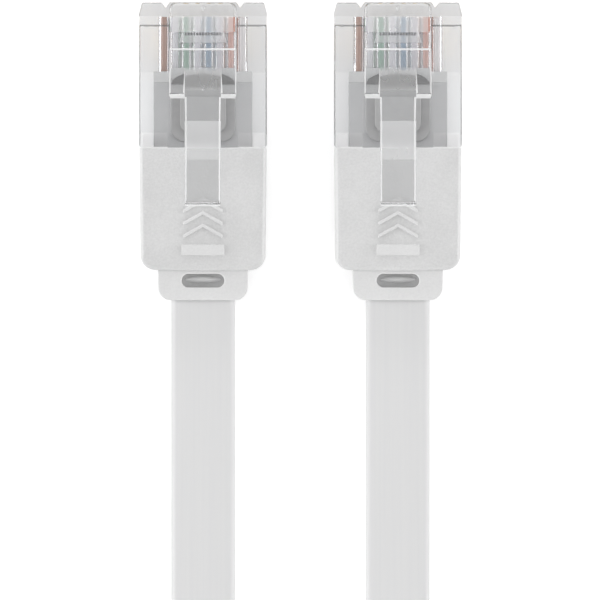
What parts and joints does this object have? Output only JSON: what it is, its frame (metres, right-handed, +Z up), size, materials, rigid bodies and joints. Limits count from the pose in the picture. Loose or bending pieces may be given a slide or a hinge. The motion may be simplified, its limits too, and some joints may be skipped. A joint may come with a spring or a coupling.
{
  "type": "ethernet patch cable",
  "caption": "Flat patch cable with a clear latched modular plug and a moulded boot on each end, its stored length folded into a strapped hank.",
  "frame": {"origin": "under the middle of the two plugs and boots, on the surface that they rest on", "axes": "+Y towards the plugs' noses, +X across the pair, +Z up, with the latches up"},
  "size_m": [0.0422, 0.2008, 0.0137],
  "materials": {
    "clear_plastic": "clear polycarbonate, moulded smooth",
    "pale_plastic": "translucent pale plastic",
    "inner_mould": "grey moulding compound",
    "boot": "soft light grey moulding, fine satin texture",
    "cable_jacket": "extruded light grey jacket, slight sheen",
    "contact_gold": "gold-plated phosphor bronze",
    "copper": "bare stranded copper",
    "strap": "woven hook-and-loop strap",
    "insulation_brown": "extruded insulation",
    "insulation_white_brown": "extruded insulation",
    "insulation_green": "extruded insulation",
    "insulation_white_blue": "extruded insulation",
    "insulation_blue": "extruded insulation",
    "insulation_white_green": "extruded insulation",
    "insulation_orange": "extruded insulation",
    "insulation_white_orange": "extruded insulation"
  },
  "bodies": {
    "root": {"plug_body_a": "clear_plastic", "load_bar_a": "pale_plastic", "inner_mould_a": "inner_mould", "boot_a": "boot", "copper_cores_a": "copper", "wire_a1": "insulation_brown", "contact_a1": "contact_gold", "wire_a2": "insulation_white_brown", "contact_a2": "contact_gold", "wire_a3": "insulation_green", "contact_a3": "contact_gold", "wire_a4": "insulation_white_blue", "contact_a4": "contact_gold", "wire_a5": "insulation_blue", "contact_a5": "contact_gold", "wire_a6": "insulation_white_green", "contact_a6": "contact_gold", "wire_a7": "insulation_orange", "contact_a7": "contact_gold", "wire_a8": "insulation_white_orange", "contact_a8": "contact_gold", "plug_body_b": "clear_plastic", "load_bar_b": "pale_plastic", "inner_mould_b": "inner_mould", "boot_b": "boot", "copper_cores_b": "copper", "wire_b1": "insulation_brown", "contact_b1": "contact_gold", "wire_b2": "insulation_white_brown", "contact_b2": "contact_gold", "wire_b3": "insulation_green", "contact_b3": "contact_gold", "wire_b4": "insulation_white_blue", "contact_b4": "contact_gold", "wire_b5": "insulation_blue", "contact_b5": "contact_gold", "wire_b6": "insulation_white_green", "contact_b6": "contact_gold", "wire_b7": "insulation_orange", "contact_b7": "contact_gold", "wire_b8": "insulation_white_orange", "contact_b8": "contact_gold", "cable_lead_a": "cable_jacket", "cable_hank": "cable_jacket", "cable_lead_b": "cable_jacket", "hank_tie": "strap"},
    "latch_a": {"latch_a": "clear_plastic"},
    "latch_b": {"latch_b": "clear_plastic"}
  },
  "joints": [
    {"name": "latch_a_hinge", "type": "hinge", "parent": "root", "child": "latch_a", "pos_m": [-0.0089, 0.0109, 0.00542], "axis": [1, 0, 0], "range_deg": [0, 10.5], "stiffness_Nm_per_rad": 0.3},
    {"name": "latch_b_hinge", "type": "hinge", "parent": "root", "child": "latch_b", "pos_m": [0.0089, 0.0109, 0.00542], "axis": [1, 0, 0], "range_deg": [0, 10.5], "stiffness_Nm_per_rad": 0.3}
  ]
}
